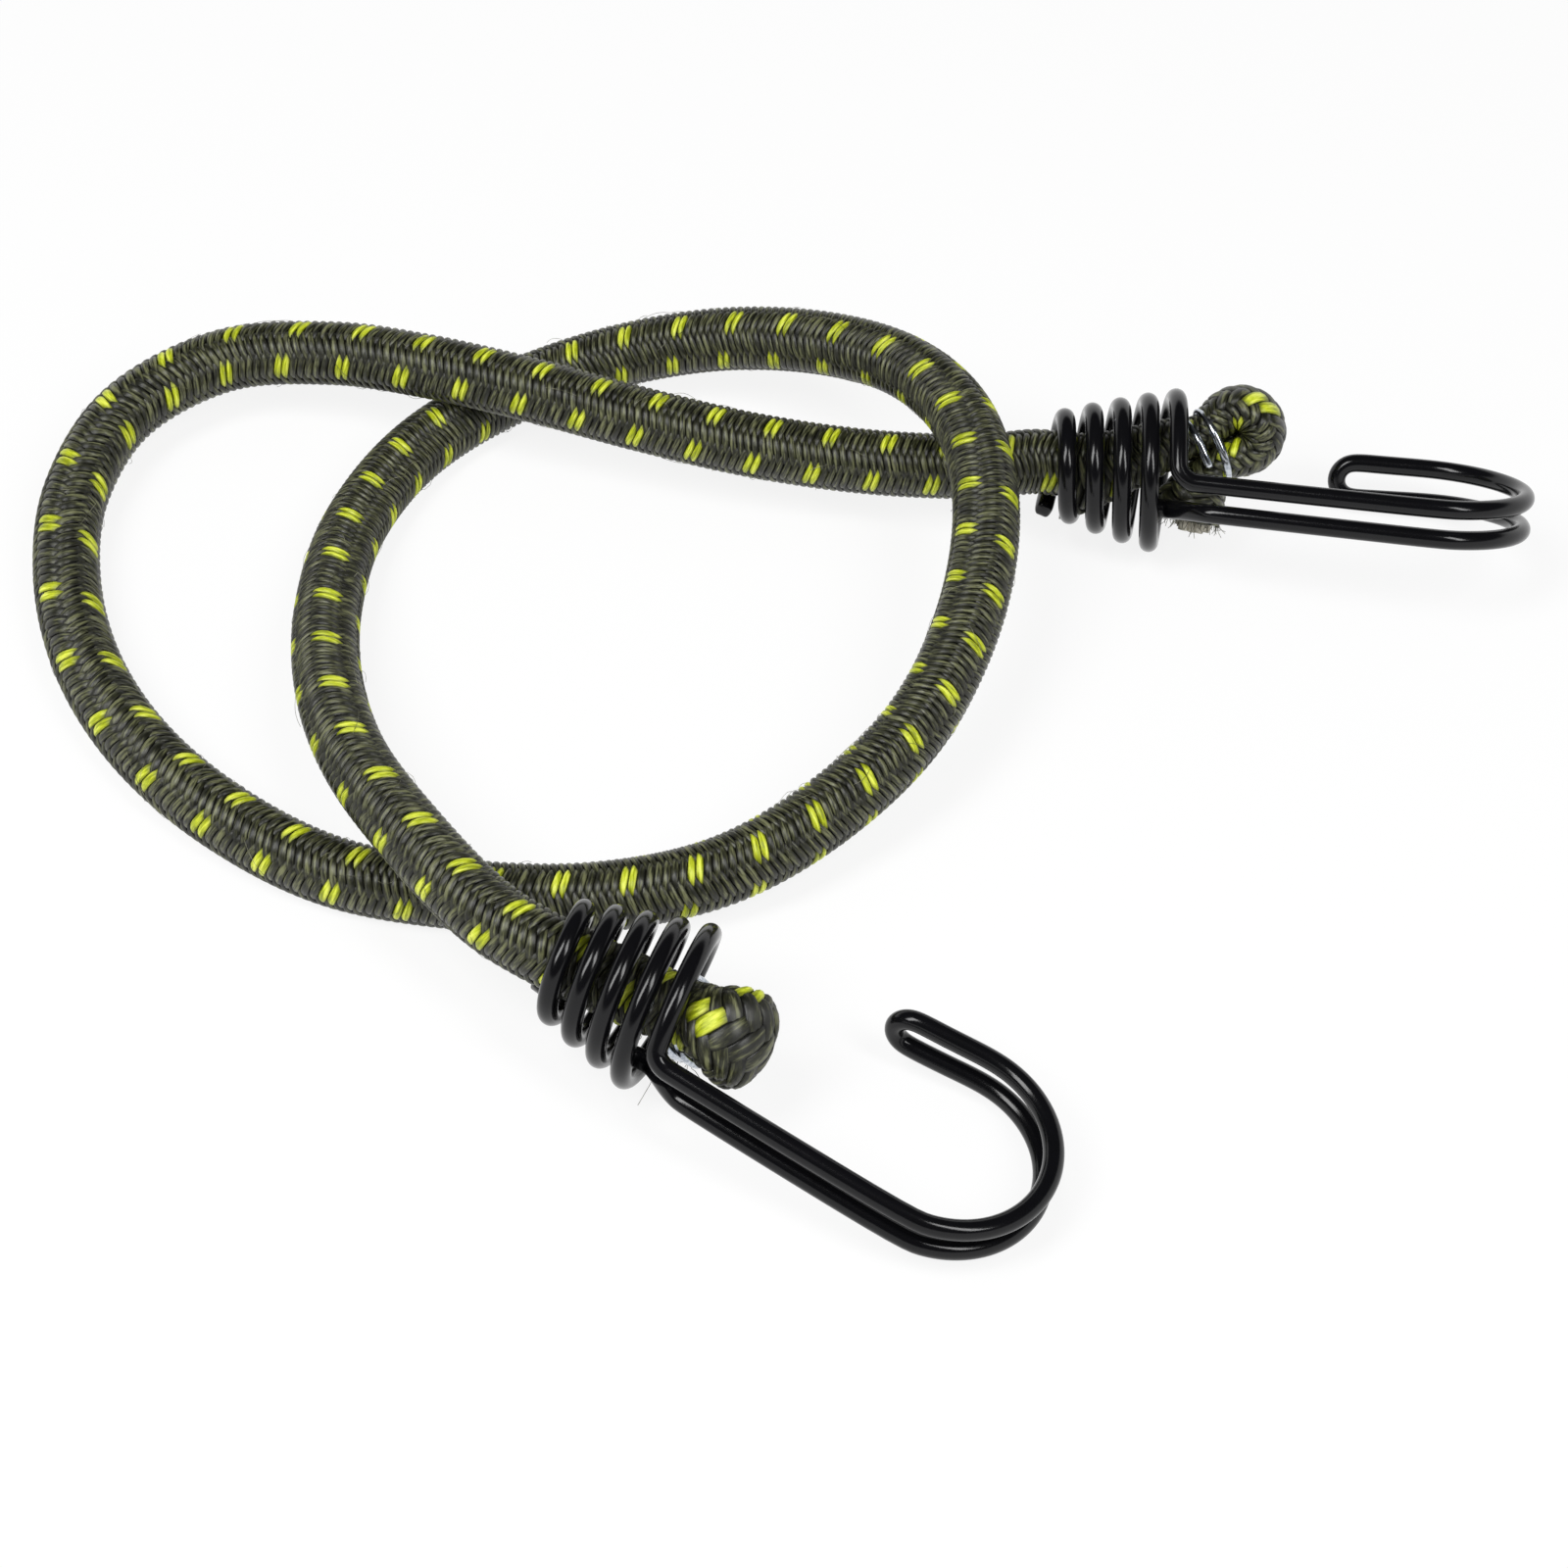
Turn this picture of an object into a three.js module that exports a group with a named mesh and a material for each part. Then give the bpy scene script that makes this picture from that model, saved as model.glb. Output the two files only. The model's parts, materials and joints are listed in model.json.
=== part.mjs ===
import * as THREE from 'three';

// Bungee cord: a braided elastic cord lying in one loose double loop, with a wire hook at each end.
// Lengths are in millimetres and angles in degrees. +Z is up and the cord lies on the plane z = 0.

// Cord: a braided sheath round a core of rubber threads
const CORD_DIAMETER = 10;
const SHEATH_WALL = 0.7;
const LAYER_CLEARANCE = 0.4;
const END_CLEARANCE = 0.3;
const FLATTENED_SHARE = 0.1;
const CORE_STUB_LENGTH = 1.2;

// Hook wire and its conical coil
const WIRE_DIAMETER = 3;
const COIL_CLEARANCE = 0.45;
const COIL_MOUTH_DIAMETER = 21.5;
const COIL_SWELL = 0.8;
const COIL_PITCH = 4.29;
const COIL_TURN_COUNT = 4.64;
const COIL_EXIT_ANGLE = 14.4;

// Hook legs, bend and doubled tip
const LEG_START_GAP = 3.2;
const LEG_SPREAD = 4.2;
const LEG_SPACING = 4.5;
const BEND_OFFSET = 17.1;
const BEND_REACH = 59.3;
const BEND_DIAMETER = 30;
const RETURN_LENGTH = 10.2;
const RETURN_FLARE = 0.3;
const TIP_SPACING = 5.8;
const SPACING_SAG = 0.35;
const TUCK_SETBACK = 3.4;
const TUCK_DEPTH = 4.2;
const TUCK_OFFSET = 6.2;
const TUCK_SIDE = 4.9;

// Folded cord end: depth of the joint in the coil, then the fold's place in the hook's frame
const SPLIT_DEPTH = 2;
const FOLD_RADIUS = 3.8;
const FOLD_TILT = 34.5;
const NECK_LENGTH = 5.4;
const BULB_SETBACK = 1.2;
const TAIL_RISE = 7;
const TAIL_SETBACK = 5.7;

// Clamp ring: one wire wound a little over one turn round the neck of the fold
const RING_WIRE_DIAMETER = 1.4;
const RING_CLEARANCE = 0.4;
const RING_SETBACK = 4.5;
const RING_PITCH = 2.7;
const RING_START_ANGLE = -20;
const RING_SWEEP = 440;
const RING_SQUARENESS = 3;

// Places of the hooks: the narrow end of the coil, heading, rise, roll and the turn of the bend.
// The folded cord end in each hook has its own gap beyond the coil, outset from its mouth and turn about it.
const BACK_HOOK = {
  x: -0.3,
  y: 65.5,
  heading: -5.3,
  rise: 1.4,
  roll: 143.6,
  bendTurn: 4.5,
  foldGap: 4.61,
  foldOutset: 3.23,
  foldTurn: 0,
};
const FRONT_HOOK = {
  x: -71.5,
  y: -37.1,
  heading: -22.2,
  rise: -9.9,
  roll: 161.8,
  bendTurn: 13.5,
  foldGap: 1.51,
  foldOutset: -0.07,
  foldTurn: 45,
};

// Route of the free cord between the two coils, from the back hook to the front hook
const CORD_LEAD = 4.5;
const CORD_ROUTE = [
  [-10.9, 64.7, 12.2], [-28.6, 65.4, 11.6], [-47.1, 67.5, 12.3], [-65.3, 71.1, 13.7], [-83.9, 75.9, 15.0],
  [-101.5, 80.8, 14.8], [-116.3, 84.5, 13.3], [-134.5, 84.8, 10.5], [-148.9, 74.9, 7.8], [-154.6, 58.5, 5.7],
  [-153.3, 40.8, 4.5], [-147.0, 22.9, 4.0], [-136.4, 7.1, 4.0], [-122.0, -5.9, 4.0], [-105.3, -15.1, 4.0],
  [-86.3, -18.5, 4.0], [-66.8, -18.6, 4.7], [-48.8, -14.4, 6.6], [-33.7, -4.7, 9.6], [-21.2, 9.0, 13.7],
  [-13.5, 27.4, 18.3], [-11.3, 47.3, 22.0], [-14.8, 64.3, 22.9], [-23.2, 77.3, 21.0], [-35.5, 86.3, 17.4],
  [-53.1, 92.4, 12.2], [-71.4, 91.9, 7.7], [-88.3, 85.2, 4.8], [-101.8, 72.5, 4.0], [-109.8, 54.5, 4.7],
  [-111.6, 35.5, 6.7], [-109.4, 17.2, 9.6], [-103.4, -0.5, 12.9], [-93.1, -17.1, 15.8], [-80.9, -31.5, 16.8],
];

// Facets
const CORD_STEPS = 48;
const CORD_SIDES = 10;
const WIRE_SIDES = 8;
const TURN_STEPS = 20;
const BEND_STEPS = 14;
const CORNER_STEPS = 6;
const FOLD_STEPS = 8;
const RING_STEPS = 28;
const RING_SIDES = 6;

const CORD_RADIUS = CORD_DIAMETER / 2;
const BORE_RADIUS = CORD_RADIUS - SHEATH_WALL;
const CORE_RADIUS = BORE_RADIUS - LAYER_CLEARANCE;
const REST_HEIGHT = CORD_RADIUS - FLATTENED_SHARE * CORD_DIAMETER;
const WIRE_RADIUS = WIRE_DIAMETER / 2;
const COIL_START_RADIUS = CORD_RADIUS + COIL_CLEARANCE + WIRE_RADIUS;
const COIL_END_RADIUS = COIL_MOUTH_DIAMETER / 2 + WIRE_RADIUS;
const COIL_LENGTH = COIL_PITCH * COIL_TURN_COUNT;
const LEG_START = COIL_LENGTH + LEG_START_GAP;

// Neck of the folded cord: shares of the cord's radius in the fold's plane and across it.
const neckShares = [0.64, 0.95];
const RING_MARGIN = RING_CLEARANCE + RING_WIRE_DIAMETER / 2;
const RING_HALF_LONG = FOLD_RADIUS + neckShares[0] * CORD_RADIUS + RING_MARGIN;
const RING_HALF_SHORT = neckShares[1] * CORD_RADIUS + RING_MARGIN;

const radians = THREE.MathUtils.degToRad;
const lerp = THREE.MathUtils.lerp;

// A tube's route with even steps. ringAt gives each ring's side vector and its height across that.
class Route extends THREE.CatmullRomCurve3 {
  constructor(points, ringAt) {
    super(points);
    this.ringAt = ringAt;
  }

  computeFrenetFrames(steps) {
    const frames = { tangents: [], normals: [], binormals: [] };
    for (let i = 0; i <= steps; i += 1) {
      const tangent = this.getTangentAt(i / steps);
      const ring = this.ringAt(tangent, i);
      frames.tangents.push(tangent);
      frames.normals.push(ring.side);
      frames.binormals.push(tangent.clone().cross(ring.side).setLength(ring.height));
    }
    return frames;
  }
}

// The same with one ring at each listed point.
class ListedRoute extends Route {
  getUtoTmapping(u) {
    return u;
  }
}

// The same for a tube that lies on the ground and never sinks into it.
class GroundRoute extends Route {
  getPoint(share, target) {
    const point = super.getPoint(share, target);
    point.z = Math.max(point.z, REST_HEIGHT);
    return point;
  }
}

// A round outline, with a flat below its centre at the given height.
function roundOutline(radius, sides, flatHeight = radius) {
  const halfFlat = Math.acos(flatHeight / radius);
  const start = halfFlat > 0 ? halfFlat : Math.PI / sides;
  const sweep = 2 * Math.PI - 2 * halfFlat;
  const count = halfFlat > 0 ? sides + 1 : sides;
  const outline = [];
  for (let i = 0; i < count; i += 1) {
    const angle = start - Math.PI / 2 + (sweep * i) / sides;
    outline.push(new THREE.Vector2(radius * Math.cos(angle), radius * Math.sin(angle)));
  }
  return outline;
}

function sweptSolid(route, steps, outline, bore) {
  const shape = new THREE.Shape(outline);
  if (bore) {
    shape.holes.push(new THREE.Path(bore));
  }
  return new THREE.ExtrudeGeometry(shape, { steps, curveSegments: 1, extrudePath: route });
}

// A wire carries its ring along from point to point, so that the ring never twists.
function wireSolid(points, radius, sides) {
  const carried = new THREE.Vector3(0, 0, 1);
  const route = new ListedRoute(points, (tangent) => {
    carried.addScaledVector(tangent, -carried.dot(tangent)).normalize();
    return { side: carried.clone(), height: 1 };
  });
  return sweptSolid(route, points.length - 1, roundOutline(radius, sides));
}

function smoothTurn(from, fromHandle, toHandle, to) {
  return new THREE.CubicBezierCurve3(from, fromHandle, toHandle, to).getPoints(CORNER_STEPS);
}

// Least gap between two stretches of one tube that lie more than three diameters apart along it.
function leastGap(centres, diameter) {
  const samples = [];
  for (let i = 0; i + 1 < centres.length; i += 1) {
    const count = Math.ceil((4 * centres[i].distanceTo(centres[i + 1])) / diameter);
    for (let j = 0; j < count; j += 1) {
      samples.push(centres[i].clone().lerp(centres[i + 1], j / count));
    }
  }
  const along = [0];
  for (let i = 1; i < samples.length; i += 1) {
    along.push(along[i - 1] + samples[i].distanceTo(samples[i - 1]));
  }
  let least = Infinity;
  for (let i = 0; i < samples.length; i += 1) {
    for (let j = i + 1; j < samples.length; j += 1) {
      if (along[j] - along[i] > 3 * diameter) {
        least = Math.min(least, samples[i].distanceTo(samples[j]) - diameter);
      }
    }
  }
  return least;
}

function part(name, geometry, finish) {
  const mesh = new THREE.Mesh(geometry, new THREE.MeshStandardMaterial(finish));
  mesh.name = name;
  return mesh;
}

const BRAID = { color: '#3d4426', roughness: 0.75, metalness: 0 };
const RUBBER = { color: '#d9d6cb', roughness: 0.6, metalness: 0 };
const COATED_WIRE = { color: '#17171a', roughness: 0.25, metalness: 0 };
const GALVANISED = { color: '#b9c0cc', roughness: 0.3, metalness: 1 };

// Conical coil of the hook. The coil runs along +X from its narrow end and the legs lie towards +Y.
function coilPoint(turn) {
  const share = turn / COIL_TURN_COUNT;
  const swell = COIL_SWELL * share * (1 - share);
  const radius = lerp(COIL_START_RADIUS, COIL_END_RADIUS, share) + swell;
  const angle = 2 * Math.PI * (turn - COIL_TURN_COUNT) - radians(COIL_EXIT_ANGLE);
  return new THREE.Vector3(COIL_PITCH * turn, radius * Math.cos(angle), radius * Math.sin(angle));
}

function coilWire() {
  const steps = Math.round(COIL_TURN_COUNT * TURN_STEPS);
  const points = [];
  for (let i = 0; i <= steps; i += 1) {
    points.push(coilPoint((COIL_TURN_COUNT * i) / steps));
  }
  const leadIn = points[0].clone().sub(points[1]).setLength(WIRE_DIAMETER);
  points.unshift(points[0].clone().add(leadIn));
  return points;
}

// Outline of the round bend in its own plane, from the leg to the end of the flared return.
function bendOutline(legStart) {
  const radius = BEND_DIAMETER / 2;
  const spread = (LEG_SPREAD * (BEND_REACH - legStart)) / (BEND_REACH - LEG_START);
  const outline = [new THREE.Vector2(legStart, -spread)];
  for (let i = 0; i <= BEND_STEPS; i += 1) {
    const angle = (Math.PI * i) / BEND_STEPS;
    outline.push(new THREE.Vector2(BEND_REACH + radius * Math.sin(angle), radius * (Math.cos(angle) - 1)));
  }
  const returnShares = [0.35, 0.7, 1];
  for (const share of returnShares) {
    const flare = RETURN_FLARE * share * share;
    outline.push(new THREE.Vector2(BEND_REACH - RETURN_LENGTH * share, -BEND_DIAMETER - flare));
  }
  return outline;
}

// How far along an outline each of its points lies, as a share of its whole length.
function lengthShares(outline) {
  const along = [0];
  for (let i = 1; i < outline.length; i += 1) {
    along.push(along[i - 1] + outline[i].distanceTo(outline[i - 1]));
  }
  return along.map((length) => length / along[along.length - 1]);
}

// The whole hook is one wire: coil, first leg and bend, doubled tip, second bend and leg, tucked end.
function hookWire(bendTurn) {
  const across = new THREE.Vector3(0, Math.cos(radians(bendTurn)), Math.sin(radians(bendTurn)));
  const aside = new THREE.Vector3(0, -across.z, across.y);
  const forward = new THREE.Vector3(1, 0, 0);
  const place = (flat, spacing) => new THREE.Vector3(flat.x, BEND_OFFSET, 0)
    .addScaledVector(across, flat.y)
    .addScaledVector(aside, spacing);

  const firstOutline = bendOutline(LEG_START);
  const firstLeg = firstOutline.map((flat) => place(flat, 0));
  const secondOutline = bendOutline(LEG_START + TUCK_SETBACK);
  const shares = lengthShares(secondOutline);
  const secondLeg = secondOutline.map((flat, i) => {
    const sag = 4 * SPACING_SAG * shares[i] * (1 - shares[i]);
    return place(flat, lerp(LEG_SPACING, TIP_SPACING, shares[i]) - sag);
  });

  const coil = coilWire();
  const coilEnd = coil[coil.length - 1];
  const coilHeading = coilEnd.clone().sub(coil[coil.length - 2]).normalize();
  const legHeading = firstLeg[1].clone().sub(firstLeg[0]).normalize();
  const corner = smoothTurn(
    coilEnd,
    coilEnd.clone().addScaledVector(coilHeading, LEG_START_GAP / 2),
    firstLeg[0].clone().addScaledVector(legHeading, -LEG_START_GAP / 2),
    firstLeg[0],
  );

  const tip = [];
  const returnEnd = firstOutline[firstOutline.length - 1];
  for (let i = 1; i < CORNER_STEPS; i += 1) {
    const angle = (Math.PI * i) / CORNER_STEPS;
    const flat = new THREE.Vector2(returnEnd.x - (TIP_SPACING / 2) * Math.sin(angle), returnEnd.y);
    tip.push(place(flat, (TIP_SPACING / 2) * (1 - Math.cos(angle))));
  }

  const tuckEnd = new THREE.Vector3(COIL_LENGTH - TUCK_DEPTH, TUCK_OFFSET, TUCK_SIDE);
  const tuckStart = tuckEnd.clone().addScaledVector(forward, WIRE_DIAMETER);
  const tuck = smoothTurn(
    secondLeg[0],
    secondLeg[0].clone().addScaledVector(legHeading, -LEG_START_GAP),
    tuckStart.clone().addScaledVector(forward, WIRE_DIAMETER / 2),
    tuckStart,
  );
  return [
    ...coil,
    ...corner.slice(1),
    ...firstLeg.slice(1),
    ...tip,
    ...secondLeg.reverse(),
    ...tuck.slice(1),
    tuckEnd,
  ];
}

// Directions of the fold in the plane of the hook's X and Z: out of the coil, and from cord to tail.
const foldOut = new THREE.Vector3(Math.cos(radians(FOLD_TILT)), 0, -Math.sin(radians(FOLD_TILT)));
const foldUp = new THREE.Vector3(-foldOut.z, 0, foldOut.x);

// The fold's centre stands off the coil's mouth by the ring's half length and the hook's own values.
function foldCentre(hook) {
  const reach = COIL_LENGTH + hook.foldGap - RING_HALF_LONG * foldOut.z;
  const drop = COIL_MOUTH_DIAMETER / 2 + hook.foldOutset - RING_HALF_LONG * foldOut.x;
  return new THREE.Vector3(reach, 0, -drop);
}

function foldPlace(hook, out, up) {
  return foldCentre(hook).addScaledVector(foldOut, out).addScaledVector(foldUp, up);
}

// Rings of the folded cord: centre, then shares of the cord's radius in the fold's plane and across it.
function foldRings(start, hook) {
  const bulbShares = [0.7, 1.4];
  const rings = [{ at: new THREE.Vector3(start, 0, 0), shares: [1, 1] }];
  const approach = [
    { share: 0.15, drop: 0, shares: [1, 1] },
    { share: 0.35, drop: 0.12, shares: [0.98, 1] },
    { share: 0.55, drop: 0.36, shares: [0.93, 1] },
    { share: 0.76, drop: 0.69, shares: [0.83, 1] },
  ];
  const neckStart = foldPlace(hook, -NECK_LENGTH, -FOLD_RADIUS);
  for (const step of approach) {
    rings.push({
      at: new THREE.Vector3(
        lerp(start, neckStart.x, step.share),
        neckStart.y * step.drop,
        neckStart.z * step.drop,
      ),
      shares: step.shares,
    });
  }
  rings.push({ at: neckStart, shares: neckShares });
  rings.push({ at: foldPlace(hook, -BULB_SETBACK, -FOLD_RADIUS), shares: neckShares });
  for (let i = 0; i <= FOLD_STEPS; i += 1) {
    const angle = (Math.PI * i) / FOLD_STEPS;
    const bulge = Math.sin(angle);
    rings.push({
      at: foldPlace(hook, FOLD_RADIUS * Math.sin(angle), -FOLD_RADIUS * Math.cos(angle)),
      shares: [lerp(neckShares[0], bulbShares[0], bulge), lerp(neckShares[1], bulbShares[1], bulge)],
    });
  }
  rings.push({ at: foldPlace(hook, -BULB_SETBACK, FOLD_RADIUS), shares: neckShares });
  rings.push({ at: foldPlace(hook, -NECK_LENGTH, FOLD_RADIUS), shares: neckShares });
  const neckEnd = foldPlace(hook, -NECK_LENGTH, FOLD_RADIUS);
  const tailEnd = new THREE.Vector3(foldCentre(hook).x - TAIL_SETBACK, 0, TAIL_RISE);
  const tail = [
    { share: 0.28, back: 0.52, shares: [0.76, 0.95] },
    { share: 0.58, back: 0.83, shares: [0.86, 0.96] },
    { share: 1, back: 1, shares: [0.88, 0.96] },
  ];
  for (const step of tail) {
    rings.push({
      at: new THREE.Vector3(
        lerp(neckEnd.x, tailEnd.x, step.back),
        tailEnd.y,
        lerp(neckEnd.z, tailEnd.z, step.share),
      ),
      shares: step.shares,
    });
  }
  return rings;
}

function foldRoute(rings) {
  const acrossFold = new THREE.Vector3(0, 1, 0);
  return new ListedRoute(rings.map((ring) => ring.at), (tangent, i) => ({
    side: acrossFold.clone().cross(tangent).setLength(rings[i].shares[0]),
    height: rings[i].shares[1],
  }));
}

function sheathFold(name, hook) {
  const rings = foldRings(SPLIT_DEPTH + END_CLEARANCE, hook);
  const outline = roundOutline(CORD_RADIUS, CORD_SIDES);
  const bore = roundOutline(BORE_RADIUS, CORD_SIDES);
  return part(name, sweptSolid(foldRoute(rings), rings.length - 1, outline, bore), BRAID);
}

// The core's rubber threads stand out of the cut sheath by a short stub.
function coreFold(name, hook) {
  const rings = foldRings(SPLIT_DEPTH + END_CLEARANCE, hook);
  const last = rings[rings.length - 1];
  const before = rings[rings.length - 2];
  const stub = last.at.clone().sub(before.at).setLength(CORE_STUB_LENGTH);
  rings.push({ at: last.at.clone().add(stub), shares: last.shares });
  const outline = roundOutline(CORE_RADIUS, CORD_SIDES);
  return part(name, sweptSolid(foldRoute(rings), rings.length - 1, outline), RUBBER);
}

// The ring's outline is a rounded rectangle that clears both strands at the neck of the fold.
function clampRingPoints(hook) {
  const rounded = (value) => Math.sign(value) * Math.abs(value) ** (2 / RING_SQUARENESS);
  const points = [];
  for (let i = 0; i <= RING_STEPS; i += 1) {
    const turned = (RING_SWEEP * i) / RING_STEPS;
    const angle = radians(RING_START_ANGLE + turned);
    const out = (RING_PITCH * turned) / 360 - RING_SETBACK;
    const point = foldPlace(hook, out, -RING_HALF_LONG * rounded(Math.sin(angle)));
    point.y += RING_HALF_SHORT * rounded(Math.cos(angle));
    points.push(point);
  }
  return points;
}

function hookEnd(side, hook) {
  const wirePoints = hookWire(hook.bendTurn);
  const ringPoints = clampRingPoints(hook);
  const wireGap = leastGap(wirePoints, WIRE_DIAMETER);
  const ringGap = leastGap(ringPoints, RING_WIRE_DIAMETER);
  console.log(`wire_hook_${side} least gap to itself: ${wireGap.toFixed(2)} mm`);
  console.log(`hog_ring_${side} least gap to itself: ${ringGap.toFixed(2)} mm`);
  const group = new THREE.Group();
  group.add(part(`wire_hook_${side}`, wireSolid(wirePoints, WIRE_RADIUS, WIRE_SIDES), COATED_WIRE));
  const fold = new THREE.Group();
  fold.add(sheathFold(`sheath_fold_${side}`, hook));
  fold.add(coreFold(`core_fold_${side}`, hook));
  fold.add(part(`hog_ring_${side}`, wireSolid(ringPoints, RING_WIRE_DIAMETER / 2, RING_SIDES), GALVANISED));
  fold.rotation.x = radians(hook.foldTurn);
  group.add(fold);
  group.rotation.set(radians(hook.roll), -radians(hook.rise), radians(hook.heading), 'ZYX');
  group.position.set(hook.x, hook.y, 0);
  group.position.z = -new THREE.Box3().setFromObject(group, true).min.z;
  group.updateMatrixWorld(true);
  return group;
}

const backEnd = hookEnd('back', BACK_HOOK);
const frontEnd = hookEnd('front', FRONT_HOOK);

// Free cord: it runs straight out of each coil. Its rings stay upright, so its flat side faces the ground.
function onCoilAxis(end, depth) {
  return end.localToWorld(new THREE.Vector3(depth, 0, 0));
}

const leadDepths = [SPLIT_DEPTH, SPLIT_DEPTH - CORD_LEAD];
const cordPoints = [
  ...leadDepths.map((depth) => onCoilAxis(backEnd, depth)),
  ...CORD_ROUTE.map((point) => new THREE.Vector3(...point)),
  ...leadDepths.reverse().map((depth) => onCoilAxis(frontEnd, depth)),
];
const upward = new THREE.Vector3(0, 0, 1);
const cordRoute = new GroundRoute(cordPoints, (tangent) => ({
  side: upward.clone().cross(tangent).normalize(),
  height: 1,
}));

function cordOutline(radius) {
  return roundOutline(radius, CORD_SIDES, radius - FLATTENED_SHARE * CORD_DIAMETER);
}

const cordGap = leastGap(cordRoute.getSpacedPoints(CORD_STEPS), CORD_DIAMETER);
console.log(`braided_sheath least gap to itself: ${cordGap.toFixed(2)} mm`);

const bungeeCord = new THREE.Group();
bungeeCord.add(
  part(
    'braided_sheath',
    sweptSolid(cordRoute, CORD_STEPS, cordOutline(CORD_RADIUS), cordOutline(BORE_RADIUS)),
    BRAID,
  ),
  part('rubber_core', sweptSolid(cordRoute, CORD_STEPS, cordOutline(CORE_RADIUS)), RUBBER),
  backEnd,
  frontEnd,
);

export default bungeeCord;
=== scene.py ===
import json
from math import atan2, cos, pi, radians, sin, tau

import bmesh
import bpy
import numpy as np
from mathutils import Matrix, Vector


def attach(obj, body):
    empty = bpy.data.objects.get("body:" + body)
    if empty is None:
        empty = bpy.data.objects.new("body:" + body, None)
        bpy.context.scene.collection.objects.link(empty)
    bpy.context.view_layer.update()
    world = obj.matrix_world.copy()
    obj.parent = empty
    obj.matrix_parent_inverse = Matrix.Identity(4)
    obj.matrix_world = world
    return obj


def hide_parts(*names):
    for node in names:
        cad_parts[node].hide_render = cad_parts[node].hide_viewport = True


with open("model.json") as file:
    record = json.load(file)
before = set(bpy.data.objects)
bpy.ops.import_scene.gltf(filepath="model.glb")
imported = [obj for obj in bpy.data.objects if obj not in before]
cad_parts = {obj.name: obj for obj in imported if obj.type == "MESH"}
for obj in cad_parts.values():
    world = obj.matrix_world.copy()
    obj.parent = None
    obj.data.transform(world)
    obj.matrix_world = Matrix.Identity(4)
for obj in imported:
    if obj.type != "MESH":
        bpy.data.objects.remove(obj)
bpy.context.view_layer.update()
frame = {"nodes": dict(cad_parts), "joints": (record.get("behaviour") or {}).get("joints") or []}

# Looks of the bungee cord: a braided elastic cord in a loose double loop, a wire hook at each end.
# Every length is in metres unless its name says otherwise.
MM = 0.001

# Camera: at the photograph's viewing angle, 0.47 m away and 50 degrees above the ground
SENSOR_WIDTH_MM = 36
FRAME_PIXELS = 1600
FOCAL_PIXELS = 3219.5
CAMERA_PLACE = (-0.0406, -0.29662, 0.36268)
CAMERA_RIGHT = Vector((0.99939, 0.02683, 0.02247))
CAMERA_FORWARD = Vector((0.0, 0.64279, -0.76604))

# Cord: a braid round a core of rubber threads. Its axis lies lowest where the ground flattens it.
CORD_DIAMETER = 10 * MM
BRAID_RADIUS = 5.2 * MM
CORE_RADIUS = 3.9 * MM
AXIS_LEAST_HEIGHT = 4 * MM
# The cord runs straight into each coil over this length.
CORD_LEAD = 4.5 * MM
# The core's curve keeps every fourth point of the cord's line, and the last one is among them.
CORE_STEP = 4

# The free cord's route between the two coils, the same points as in the part's source
CORD_ROUTE = [
    (-0.0109, 0.0647, 0.0122), (-0.0286, 0.0654, 0.0116), (-0.0471, 0.0675, 0.0123),
    (-0.0653, 0.0711, 0.0137), (-0.0839, 0.0759, 0.0150), (-0.1015, 0.0808, 0.0148),
    (-0.1163, 0.0845, 0.0133), (-0.1345, 0.0848, 0.0105), (-0.1489, 0.0749, 0.0078),
    (-0.1546, 0.0585, 0.0057), (-0.1533, 0.0408, 0.0045), (-0.1470, 0.0229, 0.0040),
    (-0.1364, 0.0071, 0.0040), (-0.1220, -0.0059, 0.0040), (-0.1053, -0.0151, 0.0040),
    (-0.0863, -0.0185, 0.0040), (-0.0668, -0.0186, 0.0047), (-0.0488, -0.0144, 0.0066),
    (-0.0337, -0.0047, 0.0096), (-0.0212, 0.0090, 0.0137), (-0.0135, 0.0274, 0.0183),
    (-0.0113, 0.0473, 0.0220), (-0.0148, 0.0643, 0.0229), (-0.0232, 0.0773, 0.0210),
    (-0.0355, 0.0863, 0.0174), (-0.0531, 0.0924, 0.0122), (-0.0714, 0.0919, 0.0077),
    (-0.0883, 0.0852, 0.0048), (-0.1018, 0.0725, 0.0040), (-0.1098, 0.0545, 0.0047),
    (-0.1116, 0.0355, 0.0067), (-0.1094, 0.0172, 0.0096), (-0.1034, -0.0005, 0.0129),
    (-0.0931, -0.0171, 0.0158), (-0.0809, -0.0315, 0.0168),
]

# Hooks: heading, rise and roll in degrees, then where the folded cord end sits in the coil's frame
HOOKS = {
    "back": dict(turned=(-5.3, 1.4, 143.6), fold_reach=29.106 * MM, fold_drop=7.3 * MM, fold_turn=0),
    "front": dict(turned=(-22.2, -9.9, 161.8), fold_reach=26.006 * MM, fold_drop=4 * MM, fold_turn=45),
}

# Folded cord end: the part's own, with a neck that is pinched more
SPLIT_DEPTH = 2.15 * MM
FOLD_RADIUS = 3.8 * MM
FOLD_TILT = radians(34.5)
FOLD_OUT = Vector((cos(FOLD_TILT), 0, -sin(FOLD_TILT)))
FOLD_UP = Vector((sin(FOLD_TILT), 0, cos(FOLD_TILT)))
NECK_LENGTH, NECK_HALF = 5.4 * MM, 2.9 * MM
BULB_SETBACK, BULB_NARROWING = 1.2 * MM, 0.94
TAIL_RISE, TAIL_SETBACK = 7 * MM, 5.7 * MM
BEND_STEPS = 8
# The section's two half widths at the neck and the bulb, as shares of the cord's, and the bulb's growth at its bend
NECK_SHARES = (0.56, 0.92)
BULB_SHARES = (0.66, 1.0)
BULB_GROWTH = (0.07, 0.38)
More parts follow.
